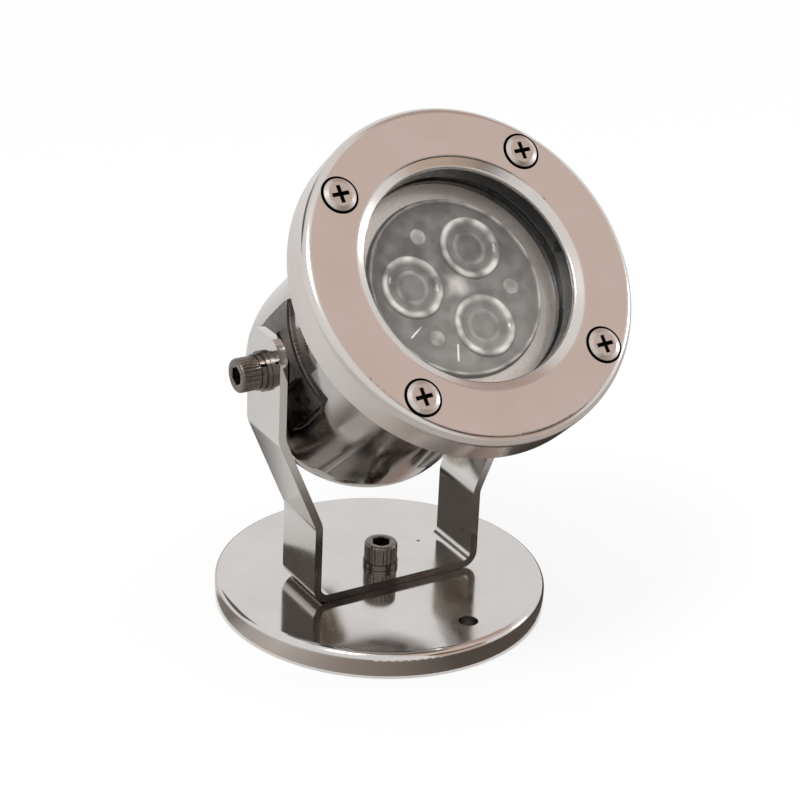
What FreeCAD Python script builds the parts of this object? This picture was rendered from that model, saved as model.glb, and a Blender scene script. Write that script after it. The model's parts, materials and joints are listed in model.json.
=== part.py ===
import FreeCAD, Part
import math
import os
import re
import Sketcher

# Underwater pond light: a stainless lamp head that tilts in a bent strap yoke,
# and the yoke swivels on a round base plate.
# Frame: origin at the middle of the base's underside, +Z up, pivot axis along X,
# and the lamp looks towards -Y and up. All sizes are millimetres and degrees.

doc = FreeCAD.newDocument("pond_light")
sheet = doc.addObject("Spreadsheet::Sheet", "sizes")

SIZES = {
    # base plate
    "base_radius": 50.0,
    "base_thickness": 8.0,
    "base_rim_round": 2.2,
    "base_hole_radius": 2.9,
    "base_hole_pitch_radius": 38.8,
    "base_hole_clock": -78.0,
    # yoke, a strap bent into a stepped U
    "yoke_width": 19.6,
    "yoke_thickness": 2.4,
    "yoke_foot_half": 28.3,
    "yoke_lower_bend": 33.4,
    "yoke_upper_bend": 63.8,
    "yoke_top_over_pivot": 11.6,
    "yoke_top_round": 7.0,
    "yoke_foot_round": 5.0,
    "yoke_bend_round": 6.0,
    # lamp position
    "pivot_height": 82.6,
    "lamp_tilt": 42.7,
    # clearances
    "slip_gap": 0.1,
    "side_gap": 0.3,
    "fit_gap": 0.05,
    "seat_gap": 0.1,
    "screw_gap": 0.3,
    # cap screws with hexagon sockets
    "cap_thread_radius": 3.0,
    "cap_head_radius": 5.0,
    "cap_head_height": 6.0,
    "cap_socket_across": 5.0,
    "cap_socket_depth": 3.2,
    "cap_edge_break": 0.5,
    "yoke_screw_length": 12.0,
    "pivot_screw_length": 7.7,
    "lock_washer_radius": 5.3,
    "lock_washer_thickness": 1.6,
    "lock_washer_slit": 0.9,
    "flat_washer_radius": 5.9,
    "flat_washer_thickness": 1.2,
    # lamp body
    "can_radius": 35.3,
    "can_wall": 1.2,
    "can_rear": -41.2,
    "can_rear_round": 19.2,
    "flange_side_gap": 0.4,
    "flange_thickness": 4.0,
    # bezel
    "bezel_margin": 7.5,
    "bezel_face": 57.4,
    "bezel_depth": 12.0,
    "bezel_plate": 6.5,
    "bezel_skirt_wall": 3.7,
    "bezel_rim_round": 2.8,
    "lip_width": 3.2,
    "lip_drop": 1.5,
    "lip_thickness": 2.6,
    "bezel_pitch_margin": 6.9,
    "bezel_screw_clock": 49.0,
    "counterbore_radius": 5.5,
    "counterbore_depth": 2.4,
    # bezel screws with cross recess
    "pan_thread_radius": 2.5,
    "pan_head_radius": 4.8,
    "pan_head_height": 3.2,
    "pan_crown_drop": 0.5,
    "pan_crown_run": 1.3,
    "pan_screw_length": 12.0,
    "cross_clock": 43.0,
    "cross_width": 1.2,
    "cross_length": 5.2,
    "cross_depth": 1.9,
    # glass and seals
    "flange_gasket_thickness": 1.0,
    "glass_thickness": 5.0,
    "glass_gasket_wall": 1.15,
    "glass_gasket_cover": 2.65,
    "glass_gasket_lip": 5.0,
    "glass_gasket_foot": 2.0,
    "seat_ring_thickness": 3.0,
    # optics
    "lens_plate_radius": 26.1,
    "lens_side_gap": 0.5,
    "lens_plate_thickness": 1.6,
    "lens_plate_recess": 12.9,
    "lens_pitch_radius": 13.3,
    "lens_clock": 51.0,
    "lens_front_radius": 9.2,
    "lens_rear_radius": 4.6,
    "lens_height": 10.2,
    "lens_socket_radius": 3.1,
    "lens_socket_depth": 2.6,
    "lens_dish_radius": 4.0,
    "lens_dish_depth": 1.2,
    "lens_peg_radius": 2.35,
    "lens_peg_pitch_radius": 17.3,
    # light source
    "board_radius": 25.6,
    "board_thickness": 1.6,
    "emitter_base_half": 1.75,
    "emitter_base_height": 0.9,
    "emitter_dome_radius": 1.4,
    "board_screw_pitch_radius": 21.8,
    "small_thread_radius": 1.5,
    "small_head_radius": 2.75,
    "small_head_height": 2.0,
    "small_screw_length": 6.0,
    "lead_radius": 0.9,
    "lead_spread": 7.0,
    "lead_offset": 20.4,
    "lead_clock": 231.0,
    # heat sink and driver
    "heat_sink_thickness": 8.0,
    "wire_hole_radius": 1.3,
    "standoff_length": 13.0,
    "standoff_across": 5.5,
    "standoff_pitch_radius": 23.0,
    "standoff_clock": 51.0,
    "driver_radius": 28.0,
    "driver_thickness": 1.6,
    "inductor_radius": 5.5,
    "inductor_height": 7.0,
    "inductor_offset": 9.0,
    "capacitor_radius": 4.0,
    "capacitor_height": 10.0,
    "capacitor_offset": 9.5,
    "chip_length": 8.0,
    "chip_width": 6.0,
    "chip_height": 1.7,
    "chip_offset": 13.0,
    # cable gland
    "gland_thread_radius": 6.0,
    "gland_bore_radius": 3.6,
    "gland_hex_across": 17.0,
    "gland_hex_height": 4.0,
    "gland_spigot": 7.0,
    "gland_neck_radius": 6.9,
    "gland_neck_length": 5.0,
    "gland_ring_radius": 8.4,
    "gland_ring_thickness": 1.4,
    "gland_nut_height": 3.5,
    "gland_nut_across": 17.0,
    "gland_dome_radius": 8.6,
    "gland_dome_length": 11.0,
    "gland_dome_round": 3.0,
    "gland_seal_radius": 5.0,
    # lugs on the sides of the can
    "lug_height": 3.3,
    "lug_pad_half": 7.3,
    "lug_length": 23.0,
    "lug_foot_half": 16.0,
    "lug_foot_thickness": 1.3,
}
for row, (alias, number) in enumerate(SIZES.items(), start=1):
    sheet.set("A%d" % row, alias)
    sheet.set("B%d" % row, str(number))
    sheet.setAlias("B%d" % row, alias)
doc.recompute()

# ---- places that follow from the sizes, written as expressions of the sheet ----
# The lamp's own frame has its origin on the pivot axis and +Z along the lamp axis.

CAN_INNER = "(can_radius - can_wall)"
GASKET_RADIUS = "(" + CAN_INNER + " - fit_gap)"
GLASS_RADIUS = "(" + GASKET_RADIUS + " - glass_gasket_wall)"
SEAT_RING_BORE = "(lens_plate_radius + lens_side_gap)"
BEZEL_BORE = "(" + GASKET_RADIUS + " - glass_gasket_cover)"
LIP_OUTER = "(" + BEZEL_BORE + " + lip_width)"
BEZEL_PITCH = "(can_radius + bezel_pitch_margin)"
BEZEL_RADIUS = "(" + BEZEL_PITCH + " + bezel_margin)"
SKIRT_INNER = "(" + BEZEL_RADIUS + " - bezel_skirt_wall)"
FLANGE_RADIUS = "(" + SKIRT_INNER + " - flange_side_gap)"
LIP_UNDER = "(bezel_face - lip_thickness)"
PLATE_BACK = "(bezel_face - bezel_plate)"
BEZEL_BACK = "(bezel_face - bezel_depth)"
FLANGE_FRONT = "(bezel_face - bezel_plate - flange_gasket_thickness)"
FLANGE_BACK = "(" + FLANGE_FRONT + " - flange_thickness)"
GLASS_FRONT = "(" + LIP_UNDER + " - glass_gasket_lip)"
GLASS_BACK = "(" + GLASS_FRONT + " - glass_thickness)"
GASKET_BACK = "(" + GLASS_BACK + " - glass_gasket_foot)"
SEAT_BACK = "(" + GASKET_BACK + " - seat_ring_thickness)"
LENS_FRONT = "(bezel_face - lens_plate_recess)"
LENS_PLATE_BACK = "(" + LENS_FRONT + " - lens_plate_thickness)"
BOARD_FRONT = "(" + LENS_FRONT + " - lens_height - emitter_base_height - seat_gap)"
BOARD_BACK = "(" + BOARD_FRONT + " - board_thickness)"
SINK_BACK = "(" + BOARD_BACK + " - heat_sink_thickness)"
DRIVER_FRONT = "(" + SINK_BACK + " - standoff_length)"
DRIVER_BACK = "(" + DRIVER_FRONT + " - driver_thickness)"
COUNTERBORE_FLOOR = "(bezel_face - counterbore_depth)"
GLAND_RING_BACK = "(can_rear - gland_ring_thickness)"
GLAND_HEX_BACK = "(" + GLAND_RING_BACK + " - gland_hex_height)"
GLAND_NECK_BACK = "(" + GLAND_HEX_BACK + " - gland_neck_length)"
DOME_FRONT = "(" + GLAND_HEX_BACK + " - seat_gap)"
DOME_BACK = "(" + DOME_FRONT + " - gland_dome_length)"
LUG_FACE = "(can_radius + lug_height)"
HEAD_INNER = "(" + LUG_FACE + " + side_gap)"
HEAD_HALF = "(" + HEAD_INNER + " + yoke_thickness)"
FOOT_INNER = "(yoke_foot_half - yoke_thickness)"
YOKE_BOTTOM = "(base_thickness + slip_gap)"
YOKE_TOP = "(pivot_height + yoke_top_over_pivot)"

WORLD = None
LAMP = "rotation(vector(1; 0; 0); 90 - lamp_tilt)"
ALIAS = re.compile(r"\b(" + "|".join(sorted(SIZES, key=len, reverse=True)) + r")\b")

nodes = []


def bound(text):
    """An expression with each size's plain name turned into its cell in the sheet."""
    return ALIAS.sub(r"sizes.\1", text)


def cell(name):
    """The number held under one name in the sheet, for shapes made in code."""
    return float(sheet.get(name))


# ---- making sub-parts ----

def new_body(name, turn=WORLD, clock=None):
    """A body whose label names its file, in the world frame or in the lamp's frame."""
    body = doc.addObject("PartDesign::Body", name)
    body.Label = name
    if turn is not WORLD:
        spin = turn if clock is None else turn + " * rotation(vector(0; 0; 1); " + clock + ")"
        body.setExpression("Placement", bound("placement(vector(0; 0; pivot_height); " + spin + ")"))
    elif clock is not None:
        place = "placement(vector(0; 0; 0); rotation(vector(0; 0; 1); " + clock + "))"
        body.setExpression("Placement", bound(place))
    nodes.append(body)
    return body


def datum(body, role):
    """The body's own origin plane or axis with this role."""
    return [item for item in body.Origin.OriginFeatures if item.Role == role][0]


def new_sketch(body, role, lift=None):
    """An empty sketch on an origin plane, lifted off it by an expression if given."""
    sketch = body.newObject("Sketcher::SketchObject", body.Name + "_sketch")
    sketch.AttachmentSupport = [(datum(body, role), "")]
    sketch.MapMode = "FlatFace"
    if lift is not None:
        sketch.setExpression("AttachmentOffset.Base.z", bound(lift))
    return sketch


def pin_point(sketch, geometry, point, across, up, start):
    """Hold one point of the sketch at two distances from the sketch's origin."""
    for kind, text, value in (("DistanceX", across, start.x), ("DistanceY", up, start.y)):
        index = sketch.addConstraint(Sketcher.Constraint(kind, -1, 1, geometry, point, value))
        sketch.setExpression("Constraints[%d]" % index, bound(text))


def draw_outline(sketch, points):
    """A closed outline of straight edges through points given as pairs of expressions."""
    count = len(points)
    first = sketch.GeometryCount
    start = []
    for k in range(count):
        angle = 2 * math.pi * k / count
        start.append(FreeCAD.Vector(10 * math.cos(angle), 10 * math.sin(angle), 0))
    for k in range(count):
        sketch.addGeometry(Part.LineSegment(start[k], start[(k + 1) % count]), False)
    for k in range(count):
        sketch.addConstraint(Sketcher.Constraint("Coincident", first + k, 2, first + (k + 1) % count, 1))
    for k, (across, up) in enumerate(points):
        pin_point(sketch, first + k, 1, across, up, start[k])


def draw_circle(sketch, across, up, radius):
    """A circle with its centre and radius given as expressions."""
    centre = FreeCAD.Vector(1, 1, 0)
    index = sketch.addGeometry(Part.Circle(centre, FreeCAD.Vector(0, 0, 1), 2), False)
    pin_point(sketch, index, 3, across, up, centre)
    radius_index = sketch.addConstraint(Sketcher.Constraint("Radius", index, 2))
    sketch.setExpression("Constraints[%d]" % radius_index, bound(radius))


def ring_points(inner, outer, low, high):
    """The four corners of a ring's section."""
    return [(inner, low), (outer, low), (outer, high), (inner, high)]


def box_points(half_across, half_up):
    """The four corners of a rectangle centred on the sketch's origin."""
    minus_across, minus_up = "-" + half_across, "-" + half_up
    return [(minus_across, minus_up), (half_across, minus_up),
            (half_across, half_up), (minus_across, half_up)]


def hexagon_points(across):
    """The six corners of a hexagon of this width across flats, centred on the origin."""
    corner = across + " / sqrt(3)"
    half_corner = across + " / sqrt(12)"
    flat = across + " / 2"
    return [(corner, "0"), (half_corner, flat), ("-" + half_corner, flat),
            ("-" + corner, "0"), ("-" + half_corner, "-" + flat), (half_corner, "-" + flat)]


def turned(body, points, axis_at=None, groove=False):
    """A solid of revolution, or a groove, about the body's Z or a line beside it."""
    sketch = new_sketch(body, "XZ_Plane")
    draw_outline(sketch, points)
    axis = "V_Axis"
    if axis_at is not None:
        low, high = FreeCAD.Vector(1, 0, 0), FreeCAD.Vector(1, 5, 0)
        index = sketch.addGeometry(Part.LineSegment(low, high), True)
        pin_point(sketch, index, 1, axis_at, "0", low)
        sketch.addConstraint(Sketcher.Constraint("Vertical", index))
        sketch.addConstraint(Sketcher.Constraint("DistanceY", index, 1, index, 2, 5.0))
        axis = "Axis0"
    kind = "PartDesign::Groove" if groove else "PartDesign::Revolution"
    feature = body.newObject(kind, body.Name + "_turned")
    feature.Profile = sketch
    feature.ReferenceAxis = (sketch, [axis])
    feature.Angle = 360
    doc.recompute()
    return feature


def padded(body, sketch, length, both_ways=False):
    """A pad of the sketch, upwards from its plane or half to each side."""
    feature = body.newObject("PartDesign::Pad", body.Name + "_pad")
    feature.Profile = sketch
    feature.Midplane = both_ways
    feature.setExpression("Length", bound(length))
    doc.recompute()
    return feature


def cut(body, sketch, depth, downwards=True):
    """A pocket of the sketch, which has to take material away."""
    before = body.Shape.Volume
    feature = body.newObject("PartDesign::Pocket", body.Name + "_cut")
    feature.Profile = sketch
    feature.Reversed = not downwards
    feature.setExpression("Length", bound(depth))
    doc.recompute()
    if body.Shape.Volume > before - 1e-6:
        raise RuntimeError(body.Name + ": a pocket cuts nothing")
    return feature


def around(body, features, count):
    """Copies of the features, evenly spaced about the body's Z axis."""
    pattern = body.newObject("PartDesign::PolarPattern", body.Name + "_pattern")
    pattern.Originals = features
    pattern.Axis = (datum(body, "Z_Axis"), [""])
    pattern.Angle = 360
    pattern.Occurrences = count
    body.Tip = pattern
    doc.recompute()
    return pattern


def softened(body, base, test, size, chamfer=False):
    """A fillet, or a chamfer, on the edges of the base feature that pass the test."""
    edges = ["Edge%d" % (k + 1) for k, edge in enumerate(base.Shape.Edges) if test(edge)]
    if not edges:
        raise RuntimeError(body.Name + ": no edge to soften")
    kind = "PartDesign::Chamfer" if chamfer else "PartDesign::Fillet"
    feature = body.newObject(kind, body.Name + "_edges")
    feature.Base = (base, edges)
    feature.setExpression("Size" if chamfer else "Radius", bound(size))
    doc.recompute()
    return feature


def rim(radius, height):
    """A test for round edges about Z, of this radius at this height."""
    def test(edge):
        curve = edge.Curve
        return (isinstance(curve, Part.Circle) and abs(curve.Radius - radius) < 0.01
                and abs(curve.Center.z - height) < 0.01)
    return test


def worked_out(text):
    """The value of one of the derived places, read from a scratch cell of the sheet."""
    sheet.set("D1", "=" + ALIAS.sub(r"\1", text))
    doc.recompute()
    value = float(sheet.get("D1"))
    sheet.clear("D1")
    return value


# ---- base: plate, and the cap screw that holds the yoke down ----

def make_base_plate():
    body = new_body("base_plate", WORLD, "base_hole_clock")
    plate = turned(body, ring_points("(cap_thread_radius + fit_gap)", "base_radius", "0", "base_thickness"))
    top = softened(body, plate, rim(cell("base_radius"), cell("base_thickness")), "base_rim_round")
    softened(body, top, rim(cell("base_radius"), 0.0), "cap_edge_break", chamfer=True)
    sketch = new_sketch(body, "XY_Plane")
    draw_circle(sketch, "base_hole_pitch_radius", "0", "base_hole_radius")
    hole = cut(body, sketch, "base_thickness", downwards=False)
    around(body, [hole], 2)


def make_cap_screw(name, length):
    """A cap screw pointing down its own -Z, with the head's seat at height 0."""
    body = doc.addObject("PartDesign::Body", name)
    body.Label = name
    nodes.append(body)
    tip = "-" + length
    screw = turned(body, [
        ("0", tip),
        ("(cap_thread_radius - cap_edge_break)", tip),
        ("cap_thread_radius", "(cap_edge_break - " + length + ")"),
        ("cap_thread_radius", "0"),
        ("cap_head_radius", "0"),
        ("cap_head_radius", "(cap_head_height - cap_edge_break)"),
        ("(cap_head_radius - cap_edge_break)", "cap_head_height"),
        ("0", "cap_head_height"),
    ])
    sketch = new_sketch(body, "XY_Plane", "cap_head_height")
    draw_outline(sketch, hexagon_points("cap_socket_across"))
    cut(body, sketch, "cap_socket_depth")
    return body


def make_washer(name, radius, thickness, split):
    """A washer standing on its own Z = 0 plane, with a slit if it is a lock washer."""
    body = doc.addObject("PartDesign::Body", name)
    body.Label = name
    nodes.append(body)
    turned(body, ring_points("(cap_thread_radius + screw_gap)", radius, "0", thickness))
    if split:
        sketch = new_sketch(body, "XY_Plane")
        slit, far = "lock_washer_slit / 2", "lock_washer_radius * 2"
        draw_outline(sketch, [("0", "-" + slit), (far, "-" + slit), (far, slit), ("0", slit)])
        cut(body, sketch, thickness, downwards=False)
    return body


def stand(body, height):
    """Put a body upright on the base's axis at this height."""
    place = "placement(vector(0; 0; " + height + "); rotation(vector(0; 0; 1); 0))"
    body.setExpression("Placement", bound(place))


def stand_sideways(body, side, reach):
    """Put a body on the pivot axis, with its Z pointing out to this side."""
    spin = "rotation(vector(1; 0; 0); 90 - lamp_tilt) * rotation(vector(0; 1; 0); %d)" % (90 * side)
    across = reach if side > 0 else "-" + reach
    body.setExpression("Placement", bound("placement(vector(" + across + "; 0; pivot_height); " + spin + ")"))


def make_yoke():
    body = new_body("yoke")
    sketch = new_sketch(body, "XZ_Plane")
    outer = [("yoke_foot_half", YOKE_BOTTOM), ("yoke_foot_half", "yoke_lower_bend"),
             (HEAD_HALF, "yoke_upper_bend"), (HEAD_HALF, YOKE_TOP)]
    # the inner face runs parallel to the outer one, a strap's thickness inside it
    lean = "atan((" + HEAD_HALF + " - yoke_foot_half) / (yoke_upper_bend - yoke_lower_bend))"
    shift = "yoke_thickness * tan(0.5 * " + lean + ")"
    inner = [(HEAD_INNER, YOKE_TOP), (HEAD_INNER, "(yoke_upper_bend + " + shift + ")"),
             (FOOT_INNER, "(yoke_lower_bend + " + shift + ")"),
             (FOOT_INNER, "(" + YOKE_BOTTOM + " + yoke_thickness)")]
    right = outer + inner
    left = [("-" + across, up) for across, up in reversed(right)]
    draw_outline(sketch, right + left)
    strap = padded(body, sketch, "yoke_width", both_ways=True)

    def along_width(edge):
        return len(edge.Vertexes) == 2 and abs(edge.Vertexes[0].Z - edge.Vertexes[1].Z) < 1e-6 \
            and abs(edge.Vertexes[0].X - edge.Vertexes[1].X) < 1e-6

    bottom = worked_out(YOKE_BOTTOM)
    lower, upper = cell("yoke_lower_bend"), cell("yoke_upper_bend")
    foot, head, thick = cell("yoke_foot_half"), worked_out(HEAD_HALF), cell("yoke_thickness")

    def at_bend(across, low, high):
        def test(edge):
            if not along_width(edge):
                return False
            x, z = abs(edge.Vertexes[0].X), edge.Vertexes[0].Z
            return abs(x - across) < 0.05 and low - 0.05 < z < high + 0.05
        return test

    bends = softened(body, strap, at_bend(foot, bottom, bottom), "yoke_foot_round")
    bends = softened(body, bends, at_bend(foot - thick, bottom + thick, bottom + thick),
                     "(yoke_foot_round - yoke_thickness)")
    bends = softened(body, bends, at_bend(foot, lower, lower), "yoke_bend_round")
    bends = softened(body, bends, at_bend(foot - thick, lower, lower + thick),
                     "(yoke_bend_round + yoke_thickness)")
    bends = softened(body, bends, at_bend(head, upper, upper), "(yoke_bend_round + yoke_thickness)")
    bends = softened(body, bends, at_bend(head - thick, upper, upper + thick), "yoke_bend_round")

    top = worked_out(YOKE_TOP)

    def top_corner(edge):
        ends = edge.Vertexes
        return len(ends) == 2 and all(abs(end.Z - top) < 0.01 for end in ends) \
            and abs(ends[0].Y - ends[1].Y) < 1e-6

    softened(body, bends, top_corner, "yoke_top_round")
    floor_hole = new_sketch(body, "XY_Plane")
    draw_circle(floor_hole, "0", "0", "(cap_thread_radius + screw_gap)")
    cut(body, floor_hole, "(base_thickness * 2)", downwards=False)
    side_hole = new_sketch(body, "YZ_Plane")
    draw_circle(side_hole, "0", "pivot_height", "(cap_thread_radius + screw_gap)")
    hole = cut(body, side_hole, HEAD_HALF + " * 3", downwards=False)
    hole.Midplane = True


def make_lug(name, side):
    """A bracket welded on the can: a tapped pad, and two feet that follow the can's wall."""
    wall = cell("can_radius")
    foot = wall + cell("lug_foot_thickness")
    face = worked_out(LUG_FACE)
    length = cell("lug_length")
    lift = FreeCAD.Vector(0, 0, -length / 2)
    sheet_ring = Part.makeCylinder(foot, length, lift).cut(Part.makeCylinder(wall, length, lift))
    reach = 2 * cell("lug_foot_half")
    feet = sheet_ring.common(Part.makeBox(foot, reach, length, FreeCAD.Vector(0, -reach / 2, -length / 2)))
    half = cell("lug_pad_half")
    pad = Part.makeBox(face, 2 * half, length, FreeCAD.Vector(0, -half, -length / 2))
    pad = pad.cut(Part.makeCylinder(wall, length, lift))
    shape = feet.fuse(pad).removeSplitter()
    bore = cell("cap_thread_radius") + cell("fit_gap")
    shape = shape.cut(Part.makeCylinder(bore, 2 * foot, FreeCAD.Vector(0, 0, 0), FreeCAD.Vector(1, 0, 0)))
    if side < 0:
        shape = shape.mirror(FreeCAD.Vector(0, 0, 0), FreeCAD.Vector(1, 0, 0))
    add_shape(name, shape)


def add_shape(name, shape):
    """A sub-part made in code, in the lamp's frame."""
    feature = doc.addObject("Part::Feature", name)
    feature.Label = name
    feature.Shape = shape
    feature.setExpression("Placement", bound("placement(vector(0; 0; pivot_height); " + LAMP + ")"))
    nodes.append(feature)


# ---- lamp shell: can, flange, bezel, seals and glass ----

def make_can():
    body = new_body("can", LAMP)
    outside = turned(body, ring_points("0", "can_radius", "can_rear", FLANGE_FRONT))
    dome = softened(body, outside, rim(cell("can_radius"), cell("can_rear")), "can_rear_round")
    front = worked_out(FLANGE_FRONT)
    face = ["Face%d" % (k + 1) for k, item in enumerate(dome.Shape.Faces)
            if abs(item.CenterOfMass.z - front) < 0.01 and isinstance(item.Surface, Part.Plane)]
    shell = body.newObject("PartDesign::Thickness", "can_shell")
    shell.Base = (dome, face)
    shell.Reversed = True
    shell.setExpression("Value", bound("can_wall"))
    doc.recompute()
    sketch = new_sketch(body, "XY_Plane", "can_rear")
    draw_circle(sketch, "0", "0", "(gland_thread_radius + seat_gap)")
    cut(body, sketch, "(can_wall * 2)", downwards=False)


def make_can_flange():
    body = new_body("can_flange", LAMP, "bezel_screw_clock")
    turned(body, ring_points("(can_radius + fit_gap)", FLANGE_RADIUS, FLANGE_BACK, FLANGE_FRONT))
    sketch = new_sketch(body, "XY_Plane", FLANGE_BACK)
    draw_circle(sketch, BEZEL_PITCH, "0", "(pan_thread_radius + fit_gap)")
    hole = cut(body, sketch, "flange_thickness", downwards=False)
    around(body, [hole], 4)


def make_bezel_ring():
    body = new_body("bezel_ring", LAMP, "bezel_screw_clock")
    counter = "(" + GASKET_RADIUS + " + seat_gap)"
    ring = turned(body, [
        (BEZEL_BORE, LIP_UNDER),
        (counter, LIP_UNDER),
        (counter, PLATE_BACK),
        (SKIRT_INNER, PLATE_BACK),
        (SKIRT_INNER, BEZEL_BACK),
        (BEZEL_RADIUS, BEZEL_BACK),
        (BEZEL_RADIUS, "bezel_face"),
        (LIP_OUTER, "bezel_face"),
        (BEZEL_BORE, "(bezel_face - lip_drop)"),
    ])
    face = cell("bezel_face")
    edge = softened(body, ring, rim(worked_out(BEZEL_RADIUS), face), "bezel_rim_round")
    edge = softened(body, edge, rim(worked_out(BEZEL_BORE), face - cell("lip_drop")), "lip_drop * 0.6")
    edge = softened(body, edge, rim(worked_out(LIP_OUTER), face), "lip_drop * 2")
    seat = new_sketch(body, "XY_Plane", COUNTERBORE_FLOOR)
    draw_circle(seat, BEZEL_PITCH, "0", "counterbore_radius")
    seat_cut = cut(body, seat, "(counterbore_depth * 2)", downwards=False)
    around(body, [seat_cut], 4)
    hole = new_sketch(body, "XY_Plane", PLATE_BACK)
    draw_circle(hole, BEZEL_PITCH, "0", "(pan_thread_radius + screw_gap)")
    hole_cut = cut(body, hole, "bezel_plate", downwards=False)
    around(body, [hole_cut], 4)


def make_flange_gasket():
    body = new_body("flange_gasket", LAMP, "bezel_screw_clock")
    turned(body, ring_points("(can_radius + seat_gap)", FLANGE_RADIUS, FLANGE_FRONT, PLATE_BACK))
    sketch = new_sketch(body, "XY_Plane", FLANGE_FRONT)
    draw_circle(sketch, BEZEL_PITCH, "0", "(pan_thread_radius + screw_gap)")
    hole = cut(body, sketch, "flange_gasket_thickness", downwards=False)
    around(body, [hole], 4)


def make_glass_gasket():
    body = new_body("glass_gasket", LAMP)
    groove = "(" + GLASS_RADIUS + " + fit_gap)"
    turned(body, [
        (BEZEL_BORE, GASKET_BACK),
        (GASKET_RADIUS, GASKET_BACK),
        (GASKET_RADIUS, LIP_UNDER),
        (BEZEL_BORE, LIP_UNDER),
        (BEZEL_BORE, "(" + GLASS_FRONT + " + fit_gap)"),
        (groove, "(" + GLASS_FRONT + " + fit_gap)"),
        (groove, "(" + GLASS_BACK + " - fit_gap)"),
        (BEZEL_BORE, "(" + GLASS_BACK + " - fit_gap)"),
    ])


def make_glass():
    body = new_body("glass", LAMP)
    disc = turned(body, ring_points("0", GLASS_RADIUS, GLASS_BACK, GLASS_FRONT))
    softened(body, disc, lambda edge: isinstance(edge.Curve, Part.Circle), "cap_edge_break", chamfer=True)


def make_seat_ring():
    body = new_body("glass_seat_ring", LAMP)
    turned(body, ring_points(SEAT_RING_BORE, GASKET_RADIUS, SEAT_BACK, GASKET_BACK))


def make_bezel_screws():
    body = new_body("bezel_screws", LAMP, "bezel_screw_clock")
    centre = BEZEL_PITCH
    floor, tip = COUNTERBORE_FLOOR, "(" + COUNTERBORE_FLOOR + " - pan_screw_length)"
    screw = turned(body, [
        (centre, tip),
        ("(" + centre + " + pan_thread_radius - cap_edge_break)", tip),
        ("(" + centre + " + pan_thread_radius)", "(" + tip + " + cap_edge_break)"),
        ("(" + centre + " + pan_thread_radius)", floor),
        ("(" + centre + " + pan_head_radius)", floor),
        ("(" + centre + " + pan_head_radius)", "(" + floor + " + pan_head_height - pan_crown_drop)"),
        ("(" + centre + " + pan_head_radius - pan_crown_run)", "(" + floor + " + pan_head_height)"),
        (centre, "(" + floor + " + pan_head_height)"),
    ], axis_at=centre)
    heads = around(body, [screw], 4)
    crown = "(" + floor + " + pan_head_height)"
    long_half, short_half = "cross_length / 2", "cross_width / 2"
    for arm in ((long_half, short_half), (short_half, long_half)):
        for side in range(4):
            sketch = new_sketch(body, "XY_Plane", crown)
            turn = ((centre, "0"), ("0", centre), ("-" + centre, "0"), ("0", "-" + centre))[side]
            corners = [(turn[0] + " + (" + across + ") * cos(cross_clock) - (" + up + ") * sin(cross_clock)",
                        turn[1] + " + (" + across + ") * sin(cross_clock) + (" + up + ") * cos(cross_clock)")
                       for across, up in box_points(*arm)]
            draw_outline(sketch, corners)
            cut(body, sketch, "cross_depth")


# ---- optics and light source ----

def make_lens_plate():
    body = new_body("lens_plate", LAMP, "lens_clock")
    turned(body, ring_points("0", "lens_plate_radius", LENS_PLATE_BACK, LENS_FRONT))
    centre = "lens_pitch_radius"
    bottom = "(" + LENS_FRONT + " - lens_height)"
    cone = turned(body, [
        (centre, bottom),
        ("(lens_pitch_radius + lens_rear_radius)", bottom),
        ("(lens_pitch_radius + lens_front_radius)", LENS_PLATE_BACK),
        (centre, LENS_PLATE_BACK),
    ], axis_at=centre)
    around(body, [cone], 3)
    socket = new_sketch(body, "XY_Plane", bottom)
    draw_circle(socket, centre, "0", "lens_socket_radius")
    socket_cut = cut(body, socket, "lens_socket_depth", downwards=False)
    around(body, [socket_cut], 3)
    dish = new_sketch(body, "XY_Plane", LENS_FRONT)
    draw_circle(dish, centre, "0", "lens_dish_radius")
    dish_cut = cut(body, dish, "lens_dish_depth")
    around(body, [dish_cut], 3)
    peg = new_sketch(body, "XY_Plane", BOARD_FRONT)
    half, rise = "lens_peg_pitch_radius / 2", "lens_peg_pitch_radius * sqrt(3) / 2"
    draw_circle(peg, half, rise, "lens_peg_radius")
    peg_pad = padded(body, peg, "(lens_height + emitter_base_height + seat_gap - lens_plate_thickness)")
    around(body, [peg_pad], 3)


def make_led_board():
    body = new_body("led_board", LAMP, "lens_clock")
    turned(body, ring_points("0", "board_radius", BOARD_BACK, BOARD_FRONT))
    screw_holes(body, BOARD_BACK, "board_thickness", "board_screw_pitch_radius", 3)
    lead_holes(body, BOARD_BACK, "board_thickness")


def screw_holes(body, low, depth, pitch, count):
    """Holes for the small screws, evenly spaced about the lamp axis."""
    sketch = new_sketch(body, "XY_Plane", low)
    draw_circle(sketch, pitch, "0", "(small_thread_radius + seat_gap)")
    hole = cut(body, sketch, depth, downwards=False)
    around(body, [hole], count)


def lead_spots():
    """The two places where the supply leads pass, turned back by the body's own clock."""
    spots = []
    for side in ("+", "-"):
        angle = "(lead_clock - lens_clock " + side + " lead_spread * 57.3 / lead_offset)"
        spots.append(("lead_offset * cos(" + angle + ")", "lead_offset * sin(" + angle + ")"))
    return spots


def lead_holes(body, low, depth):
    """Two holes that the supply leads pass through."""
    for across, up in lead_spots():
        sketch = new_sketch(body, "XY_Plane", low)
        draw_circle(sketch, across, up, "wire_hole_radius")
        cut(body, sketch, depth, downwards=False)


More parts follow.
